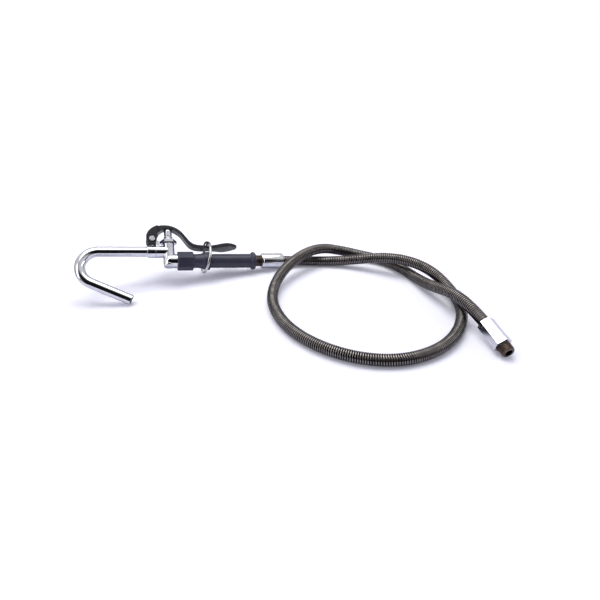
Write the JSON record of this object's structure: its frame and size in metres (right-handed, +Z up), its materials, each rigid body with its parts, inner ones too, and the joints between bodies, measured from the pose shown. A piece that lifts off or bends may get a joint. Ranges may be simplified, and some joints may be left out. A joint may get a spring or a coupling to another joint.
{
  "type": "handheld bath sprayer",
  "caption": "Hook-nozzle hand sprayer with a squeeze lever, hold-open ring and an armoured hose ending in a threaded pipe fitting.",
  "frame": {"origin": "on the floor under the middle of the sprayer, its hose and the fittings on the hose left out", "axes": "+X from the hook nozzle towards the hose, +Y away from the side that the lever opens to, +Z up"},
  "size_m": [0.5174, 0.3575, 0.0828],
  "materials": {
    "chrome": "polished",
    "steel": "drawn bright",
    "brass": "turned",
    "seal": "moulded",
    "grip": "satin moulded",
    "lever": "glossy moulded",
    "armour": "wound bright strip"
  },
  "bodies": {
    "body": {"hook_nozzle": "chrome", "nozzle_collar": "chrome", "nozzle_washer": "seal", "valve_body": "chrome", "seat_ring": "brass", "inlet_washer": "seal", "bonnet_washer": "seal", "bonnet": "chrome", "stem_seal": "seal", "return_spring": "steel", "pivot_pin": "steel", "pin_clip": "steel", "grip": "grip", "grip_core": "brass", "hose_adapter": "brass", "grip_hose_washer": "seal", "grip_hose_tail": "brass", "grip_ferrule": "chrome", "end_ferrule": "chrome", "end_hose_tail": "brass", "end_washer": "seal", "end_fitting": "chrome", "hose": "armour"},
    "plunger": {"plunger_stem": "steel", "plunger_cap": "chrome", "seat_disc": "seal", "disc_holder": "brass", "disc_screw": "steel"},
    "lever": {"lever": "lever"},
    "hold_ring": {"hold_ring": "steel"}
  },
  "joints": [
    {"name": "lever_pivot", "type": "hinge", "parent": "body", "child": "lever", "pos_m": [-0.04304, 0.02577, 0.06221], "axis": [-0.1098, 0.6691, -0.735], "range_deg": [0, 2.8], "stiffness_Nm_per_rad": 2, "springref_deg": -5.73},
    {"name": "plunger_slide", "type": "slide", "parent": "body", "child": "plunger", "axis": [-0.0989, -0.7431, -0.6618], "range_m": [0, 0.0012], "deforming": ["return_spring"]},
    {"name": "ring_swing", "type": "hinge", "parent": "lever", "child": "hold_ring", "pos_m": [0.03646, 0.02116, 0.04614], "axis": [0.1098, -0.6691, 0.735], "range_deg": [-5, 25]}
  ],
  "couplings": [
    {"joint": "plunger_slide", "follows": "lever_pivot", "m_per_rad": 0.0235}
  ]
}
